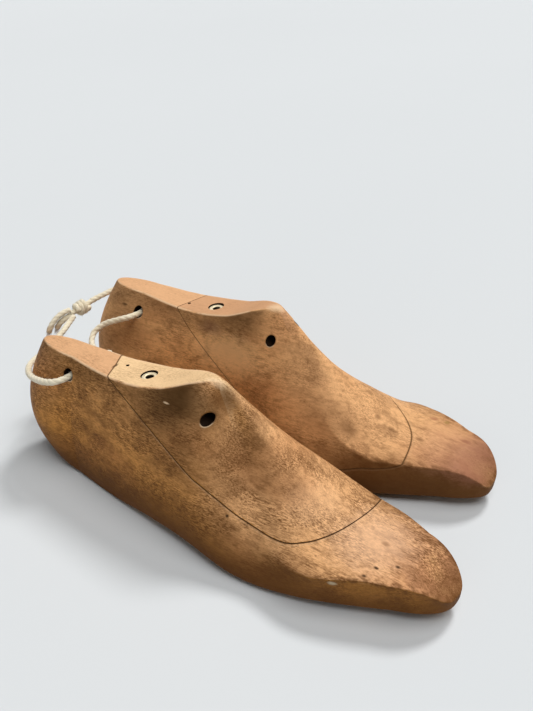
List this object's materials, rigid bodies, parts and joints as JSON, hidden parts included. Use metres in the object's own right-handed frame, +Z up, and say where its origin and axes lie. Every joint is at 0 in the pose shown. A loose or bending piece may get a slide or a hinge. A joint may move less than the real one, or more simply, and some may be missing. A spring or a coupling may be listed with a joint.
{
  "type": "pair of wooden shoe lasts",
  "caption": "Pair of wooden scoop-block shoe lasts for men's dress shoes, with removable top blocks, tied at the heels by a cord.",
  "frame": {"origin": "the middle of the pair's footprint, on the table that they stand on", "axes": "+X from heels to toes, +Y from the right last to the left one, +Z up"},
  "size_m": [0.3237, 0.1632, 0.0915],
  "materials": {
    "body_wood": "worn, oiled",
    "block_wood": "worn, oiled",
    "dowel_wood": "plain",
    "thimble_metal": "tarnished",
    "cotton_cord": "twisted cotton"
  },
  "bodies": {
    "right_last": {"right_last_body": "body_wood", "right_nose_dowel": "dowel_wood", "tie_cord": "cotton_cord"},
    "right_block": {"right_scoop_block": "block_wood", "right_thimble": "thimble_metal"},
    "left_last": {"left_last_body": "body_wood", "left_nose_dowel": "dowel_wood", "tie_knot": "cotton_cord", "long_tail": "cotton_cord", "short_tail": "cotton_cord"},
    "left_block": {"left_scoop_block": "block_wood", "left_thimble": "thimble_metal"}
  },
  "joints": [
    {"name": "right_block_slide", "type": "slide", "parent": "right_last", "child": "right_block", "axis": [-0.9089, 0, 0.4171], "range_m": [0, 0.06]},
    {"name": "left_last_slide", "type": "slide", "parent": "right_last", "child": "left_last", "axis": [0, 1, 0], "range_m": [0, 0.015], "deforming": ["tie_cord"]},
    {"name": "left_block_slide", "type": "slide", "parent": "left_last", "child": "left_block", "axis": [-0.8445, 0, 0.5356], "range_m": [0, 0.06]}
  ]
}
